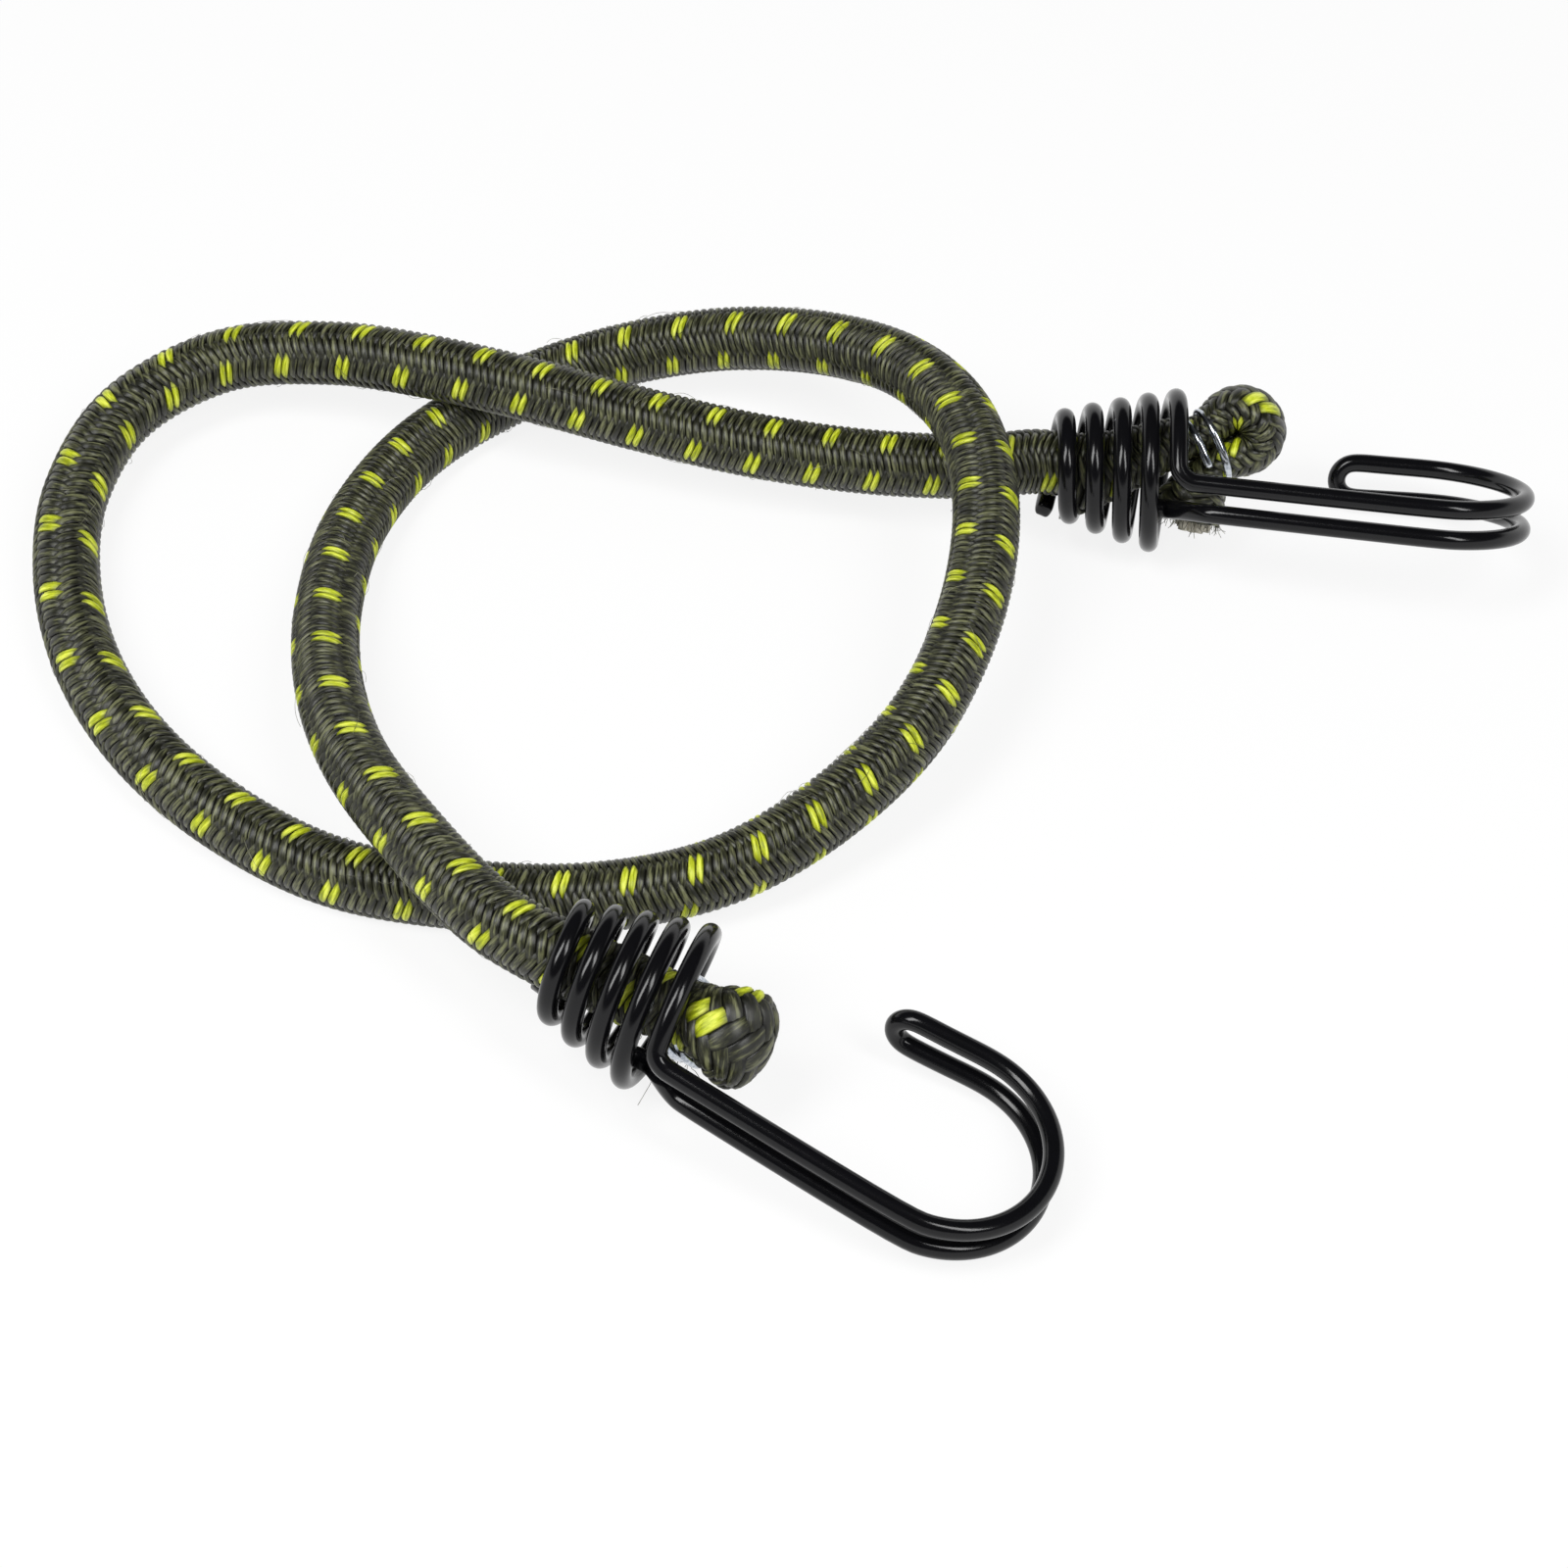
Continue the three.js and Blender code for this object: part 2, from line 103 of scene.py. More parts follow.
# Rings within the coil: share of the way to the neck, share of its drop, then the two half widths
COIL_RINGS = ((0.15, 0, 1, 1), (0.35, 0.12, 0.98, 1), (0.55, 0.36, 0.90, 1), (0.76, 0.69, 0.76, 0.98))
# Rings of the tail: share of its rise, share of its way back, then the two half widths
TAIL_RINGS = ((0.28, 0.52, 0.76, 0.95), (0.58, 0.83, 0.86, 0.96), (1, 1, 0.88, 0.96))
# The section's inner half fills what lies between the cord's axis and the fold's middle, within these shares
INNER_FILL, INNER_LEAST, INNER_MOST = 1.04, 1.08, 1.7

# The braid slides on its core as the cord bends: the length of one turn of a yarn in millimetres, and the
# angle in degrees by which the yarns are turned about the cord, at even steps from the back hook to the front.
PITCHES = [
    9.4, 9.4, 9.4, 9.7, 10.5, 11.2, 12.9, 14.0, 12.7, 10.8, 9.9, 9.7,
    9.3, 8.7, 8.6, 9.1, 9.7, 9.5, 8.8, 9.1, 10.5, 11.6, 11.1, 10.1,
]
TWISTS = [
    29, 34, 38, 41, 44, 48, 57, 70, 87, 105, 122, 138,
    150, 161, 172, 185, 197, 206, 209, 209, 207, 206, 203, 199,
]
FIRST_TURN = -2.05
# In each folded end: the length of one turn in millimetres within the coil and, where the bend spreads the yarns,
# beyond it, then how many degrees the yarns turn on the way to the bend. The bend starts at this share of its length.
FOLD_WINDING = {"back": (10.25, 14, 0), "front": (10, 14, 138)}
BEND_START = 0.4
# Share of a fold's turns left open at the split, so that the hook can turn against the cord
SPLIT_SHARE = 0.006

# Yarns: eight each way, two over and two under. Two neighbours of one way are the yellow tracers.
YARNS_EACH_WAY = 8
TRACER_FIRST, TRACER_COUNT = 0, 2
REST_FIRST, REST_COUNT = TRACER_FIRST + TRACER_COUNT, YARNS_EACH_WAY - TRACER_COUNT
USUAL_PITCH = 9.5 * MM
YARN_THICKNESS = 0.42 * MM
YARN_LIFT = 0.25 * MM
YARN_OVERLAP = 1.07
YARN_FILL = 0.998
# A yarn's section: shares of its place in the braid across it, nearly filled, and shares of its thickness up
YARN_PROFILE = ((-0.5, 0), (-0.37, 0.62), (-0.14, 0.97), (0.14, 0.97), (0.37, 0.62), (0.5, 0))
STEPS_PER_TURN = 40
MERGE_TURNS = 1e-4
# A cosine wave w is flattened to LIFT_GAIN * w / sqrt(w ** 2 + LIFT_SOFTNESS), which keeps its height of one.
LIFT_GAIN, LIFT_SOFTNESS = 1.118, 0.25
# How high a place on a yarn stands, which sets its painted shade where it dips under the others and its painted
# highlight on its crown: where it crosses the middle, and its change from there
CROWN_LEVEL, CROWN_CHANGE = 0.42, 0.7
# Each yarn has its own part of the noise, this far from the next one's.
UV_STEP_MM = 7
YARN_CLEARANCE = 0.02 * MM

# Rubber in the folded ends, and its threads at the cut
FOLD_CORE_RADIUS = 2.6 * MM
THREAD_DIAMETER = 1.5 * MM
THREAD_RINGS = 2
THREAD_SPREAD = 0.93
THREAD_LEAN = 0.10
THREAD_ROOTS = (5 * MM, 1 * MM)
THREAD_LEAST_MM, THREAD_SPARE_MM = 0.6, 1.3
FOLD_CORE_SIDES, THREAD_SIDES = 20, 10

# Fibres at each cut: how far the longest stand out in millimetres, and which way they are combed
FRAY = {"back": (1.6, (0, 0, 0)), "front": (6.5, (-0.3, -1.2, 0))}
FRAY_COUNT = 90
FRAY_DEPTH, FRAY_DEPTH_SPARE = 0.86, 0.12
FRAY_LEAST_MM = 0.6
FRAY_SPREAD, FRAY_SPREAD_SPARE = 0.15, 0.5
FRAY_BEND, FRAY_COMB, FRAY_SWAY = 0.9, 2, 0.35
FRAY_STEPS = (-0.3, 0, 0.25, 0.5, 0.75, 1)
FRAY_RADIUS = 0.05 * MM
# Single hairs along the cord: how far they run along it and round it in turns and radians, and how high they arch
HAIR_COUNT = 260
HAIR_RADIUS = 0.035 * MM
HAIR_ROOT_DEPTH = 0.1 * MM
HAIR_DRIFT, HAIR_CURL = 0.35, 0.5
HAIR_RISE_MM, HAIR_RISE_SPARE_MM = 0.15, 0.75
HAIR_ROUND, HAIR_ROUND_SPARE = 0.2, 0.5
HAIR_ARCH = 0.8
HAIR_STEPS = 7
HAIR_CLEARANCE = 0.06 * MM
FIBRE_SIDES = 3
SEEDS = {"back": 41, "front": 42, "hairs": 43}

# Clamp rings: half lengths along and across the fold, where the wire starts along it, and its leans along it
RING_WIRE_RADIUS = 0.7 * MM
RING_LONG, RING_SHORT = 5.74 * MM, 5.33 * MM
RING_STARTS = {"back": -7.8 * MM, "front": -7.2 * MM}
RING_PITCH, RING_LEAN, RING_TILT = 2.76 * MM, 0.32, 0.05
RING_SQUARENESS = 0.87
RING_WIRE_SIDES = 14
RING_TURNS = np.radians(np.linspace(-16, 451, 96))

# Hook wires: what the copy grows by, to make up for the rounding, and the angle up to which triangles are joined
WIRE_GROWTH = 0.13 * MM
JOIN_ANGLE = radians(60)
# Points closer than this are one.
MERGE_DISTANCE = 1e-6

# Floor: share of its look, to the camera alone, that is plain white near the object, and where that grows to all
FLOOR_HEIGHT = -0.15 * MM
FLOOR_HALF_SIDE = 4
FLOOR_GLOW = 0.86
FLOOR_GLOW_FADE = (0.25, 1.0)

# World: the strength of its light on the object. What is seen of it, white at the horizon, fades to dark between
# these two upward shares of the view's direction.
WORLD_STRENGTH = 0.3
STUDIO_FADE = (0.25, 0.42)
STUDIO_DARK = 0.03

# Softboxes: place, size and power in watts
LAMPS = {
    "key_softbox": ((-0.40, -0.22, 0.70), (0.24, 0.50), 4.4),
    "fill_softbox": ((0.34, -0.30, 0.66), (0.18, 0.45), 2.8),
}
LAMP_TARGET = Vector((-0.04, 0.01, 0))


def set_camera():
    data = bpy.data.cameras.new("camera")
    data.sensor_width = SENSOR_WIDTH_MM
    data.lens = FOCAL_PIXELS / FRAME_PIXELS * SENSOR_WIDTH_MM
    camera = bpy.data.objects.new("camera", data)
    upward = CAMERA_RIGHT.cross(CAMERA_FORWARD)
    turn = Matrix((CAMERA_RIGHT, upward, -CAMERA_FORWARD)).transposed().to_4x4()
    camera.matrix_world = Matrix.Translation(CAMERA_PLACE) @ turn
    bpy.context.scene.collection.objects.link(camera)
    bpy.context.scene.camera = camera
    bpy.context.scene.view_settings.view_transform = "Standard"


set_camera()


# Materials
def linear(text):
    """An sRGB hex value as a linear colour with alpha."""
    parts = [int(text[i:i + 2], 16) / 255 for i in (1, 3, 5)]
    return (*[c / 12.92 if c <= 0.04045 else ((c + 0.055) / 1.055) ** 2.4 for c in parts], 1)


def add_node(tree, kind, values=None, links=None, **settings):
    """Adds a node with its settings, its input values and its links from other nodes' outputs."""
    node = tree.nodes.new(kind)
    for key, value in settings.items():
        setattr(node, key, value)
    for key, value in (values or {}).items():
        node.inputs[key].default_value = value
    for key, output in (links or {}).items():
        tree.links.new(output, node.inputs[key])
    return node


def new_material(name, values, links):
    """A material of one Principled shader. links is called with the tree and returns the shader's linked inputs."""
    material = bpy.data.materials.new(name)
    material.use_nodes = True
    tree = material.node_tree
    tree.nodes.clear()
    shader = add_node(tree, "ShaderNodeBsdfPrincipled", values, links(tree))
    add_node(tree, "ShaderNodeOutputMaterial", links={"Surface": shader.outputs["BSDF"]})
    return material


def add_ramp(tree, factor, stops):
    """A colour ramp over the factor. stops are pairs of a place and an sRGB hex value."""
    ramp = add_node(tree, "ShaderNodeValToRGB", links={"Fac": factor})
    elements = ramp.color_ramp.elements
    while len(elements) < len(stops):
        elements.new(1)
    for element, (place, colour) in zip(elements, stops):
        element.position = place
        element.color = linear(colour)
    return ramp


def yarn_links(colours):
    """Colour and bump of a multifilament yarn, from its own UV in millimetres along and across. Its colour carries
    painted shade where the yarn dips under the others and a painted highlight on its crown.

    The real filaments are 0.02 mm thick. They are drawn as bundles of 0.4 mm, which still read as fibres.
    """

    def links(tree):
        yarn = add_node(tree, "ShaderNodeUVMap", uv_map="yarn")
        filaments = add_node(tree, "ShaderNodeMapping", {"Scale": (0.28, 2.6, 1)}, {"Vector": yarn.outputs["UV"]})
        lines = add_node(
            tree, "ShaderNodeTexNoise", {"Scale": 1.0, "Detail": 3.0, "Roughness": 0.65},
            {"Vector": filaments.outputs["Vector"]}, noise_dimensions="2D",
        )
        floats = add_node(tree, "ShaderNodeMapping", {"Scale": (0.22, 0.7, 1)}, {"Vector": yarn.outputs["UV"]})
        shades = add_node(
            tree, "ShaderNodeTexNoise", {"Scale": 1.0, "Detail": 1.0}, {"Vector": floats.outputs["Vector"]},
            noise_dimensions="2D",
        )
        mixed = add_node(
            tree, "ShaderNodeMath", {1: 0.3}, {0: shades.outputs["Fac"], 2: lines.outputs["Fac"]},
            operation="MULTIPLY_ADD",
        )
        ramp = add_ramp(tree, mixed.outputs["Value"], colours)
        crown = add_node(tree, "ShaderNodeAttribute", attribute_name="crown")
        # Painted shade darkens the yarn's colour where it dips under the others, and a painted highlight brightens it
        # above its own tone on its crown.
        painted_shade_and_highlight = add_node(
            tree, "ShaderNodeMapRange", {"From Min": 0.05, "From Max": 0.85, "To Min": 0.12, "To Max": 1.2},
            {"Value": crown.outputs["Fac"]}, interpolation_type="SMOOTHSTEP",
        )
        shaded = add_node(
            tree, "ShaderNodeVectorMath", links={0: ramp.outputs["Color"], "Scale": painted_shade_and_highlight.outputs["Result"]},
            operation="SCALE",
        )
        bump = add_node(
            tree, "ShaderNodeBump", {"Strength": 0.7, "Distance": 0.1 * MM}, {"Height": lines.outputs["Fac"]},
        )
        tangent = add_node(tree, "ShaderNodeTangent", direction_type="UV_MAP", uv_map="yarn")
        return {
            "Base Color": shaded.outputs["Vector"], "Normal": bump.outputs["Normal"],
            "Tangent": tangent.outputs["Tangent"],
        }

    return links


def mottled(scale, stops, bump, size):
    """Colours that wander over the piece with a noise of the given scale per metre, and a bump of the same noise."""

    def links(tree):
        where = add_node(tree, "ShaderNodeTexCoord")
        noise = add_node(
            tree, "ShaderNodeTexNoise", {"Scale": scale, "Detail": 4.0, "Roughness": 0.6},
            {"Vector": where.outputs["Object"]},
        )
        ramp = add_ramp(tree, noise.outputs["Fac"], stops)
        raised = add_node(
            tree, "ShaderNodeBump", {"Strength": bump, "Distance": size}, {"Height": noise.outputs["Fac"]},
        )
        return {"Base Color": ramp.outputs["Color"], "Normal": raised.outputs["Normal"]}

    return links


# Filament yarn spreads its highlight across the filaments, so its specular lobe is stretched that way.
OLIVE_YARN = new_material(
    "olive polyester yarn",
    {"Roughness": 0.42, "Anisotropic": 0.7, "Anisotropic Rotation": 0.25, "Specular IOR Level": 0.55},
    yarn_links([(0.50, "#12130a"), (0.65, "#292a1a"), (0.82, "#686a4a")]),
)
YELLOW_YARN = new_material(
    "yellow-green polyester yarn",
    {"Roughness": 0.42, "Anisotropic": 0.7, "Anisotropic Rotation": 0.25, "Specular IOR Level": 0.4},
    yarn_links([(0.48, "#7c8512"), (0.64, "#acb71e"), (0.82, "#d6dd55")]),
)
# Natural rubber is cut into threads and dusted with talc, so it is dull, greyish and a little powdery.
RUBBER_THREADS = new_material(
    "talc dusted natural rubber thread", {"Roughness": 0.75, "IOR": 1.52},
    mottled(900, [(0.35, "#8f8b7c"), (0.5, "#bdb8a8"), (0.66, "#d8d4c6")], 0.6, 0.1 * MM),
)
# Cut ends show single filaments: pale where they are worn, olive where they are not.
LOOSE_FIBRES = new_material(
    "loose polyester filaments", {"Roughness": 0.45},
    mottled(350, [(0.4, "#2d2e1c"), (0.5, "#5d5d43"), (0.62, "#a5a58c")], 0.1, 0.05 * MM),
)
# Steel dipped in vinyl: deep black and glossy with a faint orange peel of 2 mm, and a few specks of dust.
COATED_WIRE = new_material(
    "black vinyl dipped steel wire", {"Roughness": 0.16, "IOR": 1.52, "Specular IOR Level": 0.3},
    mottled(520, [(0.3, "#0b0b0d"), (0.755, "#0d0d10"), (0.775, "#8f9095")], 0.12, 0.1 * MM),
)
# Zinc on drawn steel: bright, with cloudy patches of about 1 mm.
ZINC_WIRE = new_material(
    "bright galvanised steel wire", {"Metallic": 1, "Roughness": 0.2},
    mottled(900, [(0.35, "#8e959f"), (0.5, "#bfc5cd"), (0.65, "#dfe3e8")], 0.25, 0.05 * MM),
)


# Lines and frames
def smooth_line(points, per_span=24):
    """The centripetal curve through the points, as the part's source draws it."""
    points = np.asarray(points, float)
    before, after = 2 * points[0] - points[1], 2 * points[-1] - points[-2]
    p = np.vstack([before, points, after])
    step = np.linalg.norm(np.diff(p, axis=0), axis=1)[:, None] ** 0.5
    share = np.linspace(0, 1, per_span, endpoint=False)[:, None]
    line = []
    for i in range(1, len(p) - 2):
        d0, d1, d2 = step[i - 1], step[i], step[i + 1]
        leave = (p[i] - p[i - 1]) / d0 - (p[i + 1] - p[i - 1]) / (d0 + d1) + (p[i + 1] - p[i]) / d1
        arrive = (p[i + 1] - p[i]) / d1 - (p[i + 2] - p[i]) / (d1 + d2) + (p[i + 2] - p[i + 1]) / d2
        t0, t1 = leave * d1, arrive * d1
        cubic = 2 * p[i] - 2 * p[i + 1] + t0 + t1
        square = -3 * p[i] + 3 * p[i + 1] - 2 * t0 - t1
        line.append(p[i] + t0 * share + square * share ** 2 + cubic * share ** 3)
    return np.vstack(line + [points[-1:]])


def unit(vectors):
    return vectors / np.linalg.norm(vectors, axis=-1, keepdims=True)


def lengths_along(line):
    return np.r_[0, np.cumsum(np.linalg.norm(np.diff(line, axis=0), axis=1))]


def turns_along(frequency, along):
    """Turns made since the start, where frequency gives the turns per metre at each place along."""
    return np.r_[0, np.cumsum((frequency[1:] + frequency[:-1]) / 2 * np.diff(along))]


class Stretch:
    """One stretch of the cord: its line, side and height vectors scaled to its section, and how the yarns wind.

    wound counts the yarns' turns along the line, and twist is the angle by which they are all turned about it.
    inner widens the section on the side that the side vectors point to.
    """

    def __init__(self, line, side, height, wound, twist, inner=None):
        self.line, self.side, self.height, self.wound, self.twist = line, side, height, wound, twist
        self.inner = np.ones(len(line)) if inner is None else inner

    def place(self, wound, radius, angle):
        turned = angle + np.interp(wound, self.wound, self.twist)
        centre, side, height = (
            np.stack([np.interp(wound, self.wound, column) for column in vectors.T], axis=-1)
            for vectors in (self.line, self.side, self.height)
        )
        across, up = radius * np.cos(turned), radius * np.sin(turned)
        across = np.where(across > 0, across * np.interp(wound, self.wound, self.inner), across)
        return centre + side * across[:, None] + height * up[:, None]


def hook_frame(side):
    """The coil's own frame: origin at its narrow end, X out along its axis, Y towards the legs."""
    joint = next(j for j in frame["joints"] if j["name"] == f"{side}_hook_twist")
    heading, rise, roll = (radians(a) for a in HOOKS[side]["turned"])
    turn = Matrix.Rotation(heading, 4, "Z") @ Matrix.Rotation(-rise, 4, "Y") @ Matrix.Rotation(roll, 4, "X")
    return Matrix.Translation(joint["pos_m"]) @ turn


def fold_frame(side):
    """The coil's frame turned about its axis, so that the cord folds in its XZ plane."""
    return hook_frame(side) @ Matrix.Rotation(radians(HOOKS[side]["fold_turn"]), 4, "X")


def fold_middle(side):
    return Vector((HOOKS[side]["fold_reach"], 0, -HOOKS[side]["fold_drop"]))


def fold_rings(side):
    """Rings of the folded cord end in the fold's frame: centre, then shares of the section's two half widths."""
    middle = fold_middle(side)

    def place(out, up):
        return middle + FOLD_OUT * out + FOLD_UP * up

    neck_start, neck_end = place(-NECK_LENGTH, -NECK_HALF), place(-NECK_LENGTH, NECK_HALF)
    rings = [(Vector((SPLIT_DEPTH, 0, 0)), 1, 1)]
    for share, lower, inward, across in COIL_RINGS:
        x = SPLIT_DEPTH + (neck_start.x - SPLIT_DEPTH) * share
        rings.append((Vector((x, 0, neck_start.z * lower)), inward, across))
    rings += [(neck_start, *NECK_SHARES), (place(-BULB_SETBACK, -BULB_NARROWING * FOLD_RADIUS), *BULB_SHARES)]
    for i in range(BEND_STEPS + 1):
        angle = pi * i / BEND_STEPS
        at = place(FOLD_RADIUS * sin(angle), -FOLD_RADIUS * cos(angle))
        rings.append((at, *(share + growth * sin(angle) for share, growth in zip(BULB_SHARES, BULB_GROWTH))))
    rings += [(place(-BULB_SETBACK, BULB_NARROWING * FOLD_RADIUS), *BULB_SHARES), (neck_end, *NECK_SHARES)]
    tail_end = Vector((HOOKS[side]["fold_reach"] - TAIL_SETBACK, 0, TAIL_RISE))
    for rise, back, inward, across in TAIL_RINGS:
        x = neck_end.x + (tail_end.x - neck_end.x) * back
        z = neck_end.z + (tail_end.z - neck_end.z) * rise
        rings.append((Vector((x, 0, z)), inward, across))
    return rings


def fold_stretch(side):
    """The fold's line, its section vectors towards the inside of the fold and across it, and the inner share."""
    rings = fold_rings(side)
    place = fold_frame(side)
    line = smooth_line([place @ at for at, _, _ in rings], per_span=12)
    steps = np.linspace(0, len(rings) - 1, len(line))
    shares = np.stack([np.interp(steps, np.arange(len(rings)), [r[i] for r in rings]) for i in (1, 2)], axis=-1)
    tangent = unit(np.gradient(line, axis=0))
    across_fold = np.array((place.to_3x3() @ Vector((0, 1, 0))).normalized())
    inward = unit(np.cross(tangent, across_fold))
    across = unit(np.cross(tangent, inward))
    apart = np.abs((line - np.array(place @ fold_middle(side))) @ np.array(place.to_3x3() @ FOLD_UP))
    inner = np.clip(INNER_FILL * apart / (shares[:, 0] * BRAID_RADIUS), INNER_LEAST, INNER_MOST)
    return line, inward * shares[:, :1], across * shares[:, 1:2], inner


def free_stretch():
    points = [hook_frame("back") @ Vector((depth, 0, 0)) for depth in (SPLIT_DEPTH, SPLIT_DEPTH - CORD_LEAD)]
    points += [Vector(point) for point in CORD_ROUTE]
    points += [hook_frame("front") @ Vector((depth, 0, 0)) for depth in (SPLIT_DEPTH - CORD_LEAD, SPLIT_DEPTH)]
    line = smooth_line(points)
    line[:, 2] = np.maximum(line[:, 2], AXIS_LEAST_HEIGHT)
    tangent = unit(np.gradient(line, axis=0))
    side = unit(np.cross((0, 0, 1), tangent))
    return line, side, np.cross(tangent, side)


def turn_between(side_from, side_to, height_to):
    a, b, c = unit(side_from), unit(side_to), unit(height_to)
    return atan2(float(a @ c), float(a @ b))


def cord_stretches():
    """The whole cord from the back hook's cut end to the front hook's, with the yarns running on through it."""
    line, side, height = free_stretch()
    along = lengths_along(line)
    steps = np.linspace(0, along[-1], len(PITCHES))
    wound = FIRST_TURN + turns_along(np.interp(along, steps, 1 / (np.array(PITCHES) * MM)), along)
    twist = np.radians(np.interp(along, steps, TWISTS))
    stretches = {"free": Stretch(line, side, height, wound, twist)}
    for name, end in (("back", 0), ("front", -1)):
        line, inward, across, inner = fold_stretch(name)
        from_cord = np.linspace(0, 1, len(line))
        if name == "back":
            line, inward, across, inner = line[::-1], inward[::-1], -across[::-1], inner[::-1]
            from_cord = from_cord[::-1]
        coil_pitch, bend_pitch, extra = FOLD_WINDING[name]
        frequency = 1 / (np.where(from_cord < BEND_START, coil_pitch, bend_pitch) * MM)
        turns = turns_along(frequency, lengths_along(line))
        start = wound[0] - turns[-1] if name == "back" else wound[-1]
        turned = twist[end] + turn_between(side[end], inward[-1 - end], across[-1 - end])
        turned = turned + radians(extra) * np.interp(from_cord, (0, BEND_START), (0, 1))
        stretches[name] = Stretch(line, inward, across, start + turns, turned, inner)
    return stretches


STRETCHES = cord_stretches()


# Pieces
def place_object(name, mesh, material, body):
    piece = bpy.data.objects.new(name, mesh)
    bpy.context.scene.collection.objects.link(piece)
    piece.data.materials.append(material)
    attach(piece, body)
    return piece


def read_points(mesh):
    points = np.empty(3 * len(mesh.vertices))
    mesh.vertices.foreach_get("co", points)
    return points.reshape(-1, 3)


def shade_smooth(mesh):
    mesh.polygons.foreach_set("use_smooth", [True] * len(mesh.polygons))


def sweep(bm, points, radius, sides):
    """A round bar along the points, made by extruding one circle from place to place."""
    points = [Vector(point) for point in points]
    befores, afters = [points[0]] + points, points[1:] + [points[-1]]
    ways = [(after - before).normalized() for before, after in zip(befores, afters)]
    turn = ways[0].to_track_quat("Z", "Y").to_matrix().to_4x4()
    circle = bmesh.ops.create_circle(
        bm, cap_ends=True, radius=radius, segments=sides, matrix=Matrix.Translation(points[0]) @ turn,
    )
    edges = list({edge for vert in circle["verts"] for edge in vert.link_edges})
    for i in range(1, len(points)):
        grown = bmesh.ops.extrude_edge_only(bm, edges=edges)["geom"]
        verts = [part for part in grown if isinstance(part, bmesh.types.BMVert)]
        kept = set(verts)
        edges = [
            part for part in grown
            if isinstance(part, bmesh.types.BMEdge) and part.verts[0] in kept and part.verts[1] in kept
        ]
        swing = ways[i - 1].rotation_difference(ways[i]).to_matrix().to_4x4()
        step = Matrix.Translation(points[i]) @ swing @ Matrix.Translation(-points[i - 1])
        bmesh.ops.transform(bm, matrix=step, verts=verts)
    bmesh.ops.edgeloop_fill(bm, edges=edges)


def swept_piece(name, routes, radius, sides, material, body, slot):
    """One piece of several round bars."""
    whole = bpy.data.meshes.new(name)
    joined = bmesh.new()
    for route in routes:
        bm = bmesh.new()
        sweep(bm, route, radius, sides)
        bmesh.ops.recalc_face_normals(bm, faces=bm.faces[:])
        bar = bpy.data.meshes.new("bar")
        bm.to_mesh(bar)
        bm.free()
        joined.from_mesh(bar)
        bpy.data.meshes.remove(bar)
    joined.to_mesh(whole)
    joined.free()
    shade_smooth(whole)
    return place_object(name, whole, material, body)


# Braid
def straight_yarns(direction, first, count, start, end):
    """Yarns wound on a straight axis in turns, with their height above the core kept as radius over one."""
    bm = bmesh.new()
    ring = [
        bm.verts.new(((first + across * YARN_FILL) / YARNS_EACH_WAY, 1 + height, 0))
        for across, height in YARN_PROFILE
    ]
    edges = [bm.edges.new((ring[i], ring[i - 1])) for i in range(len(ring))]
    bmesh.ops.spin(
        bm, geom=ring + edges, cent=(0, 0, 0), axis=(1, 0, 0), dvec=(1 / STEPS_PER_TURN, 0, 0),
        angle=tau * direction, steps=STEPS_PER_TURN, use_merge=False, use_normal_flip=direction > 0,
        use_duplicate=False,
    )
    mesh = bpy.data.meshes.new("yarn_turn")
    bm.to_mesh(mesh)
    bm.free()
    low = int(np.floor(start)) - 2
    mesh.transform(Matrix.Translation((low, 0, 0)))
    turns = bpy.data.objects.new("yarn_turn", mesh)
    bpy.context.scene.collection.objects.link(turns)
    for offset, number, merge in ((1, int(np.ceil(end)) + 1 - low, True), (1 / YARNS_EACH_WAY, count, False)):
        array = turns.modifiers.new("row", "ARRAY")
        array.use_relative_offset = False
        array.use_constant_offset = True
        array.constant_offset_displace = (offset, 0, 0)
        array.count = number
        array.use_merge_vertices = merge
        array.merge_threshold = MERGE_TURNS
    depsgraph = bpy.context.evaluated_depsgraph_get()
    bm = bmesh.new()
    bm.from_mesh(turns.evaluated_get(depsgraph).to_mesh())
    bpy.data.objects.remove(turns)
    bpy.data.meshes.remove(mesh)
    for place, outward in ((start, -1), (end, 1)):
        geometry = bm.verts[:] + bm.edges[:] + bm.faces[:]
        bmesh.ops.bisect_plane(
            bm, geom=geometry, dist=MERGE_DISTANCE, plane_co=(place, 0, 0), plane_no=(outward, 0, 0), clear_outer=True,
        )
    bmesh.ops.holes_fill(bm, edges=[e for e in bm.edges if e.is_boundary], sides=0)
    return bm


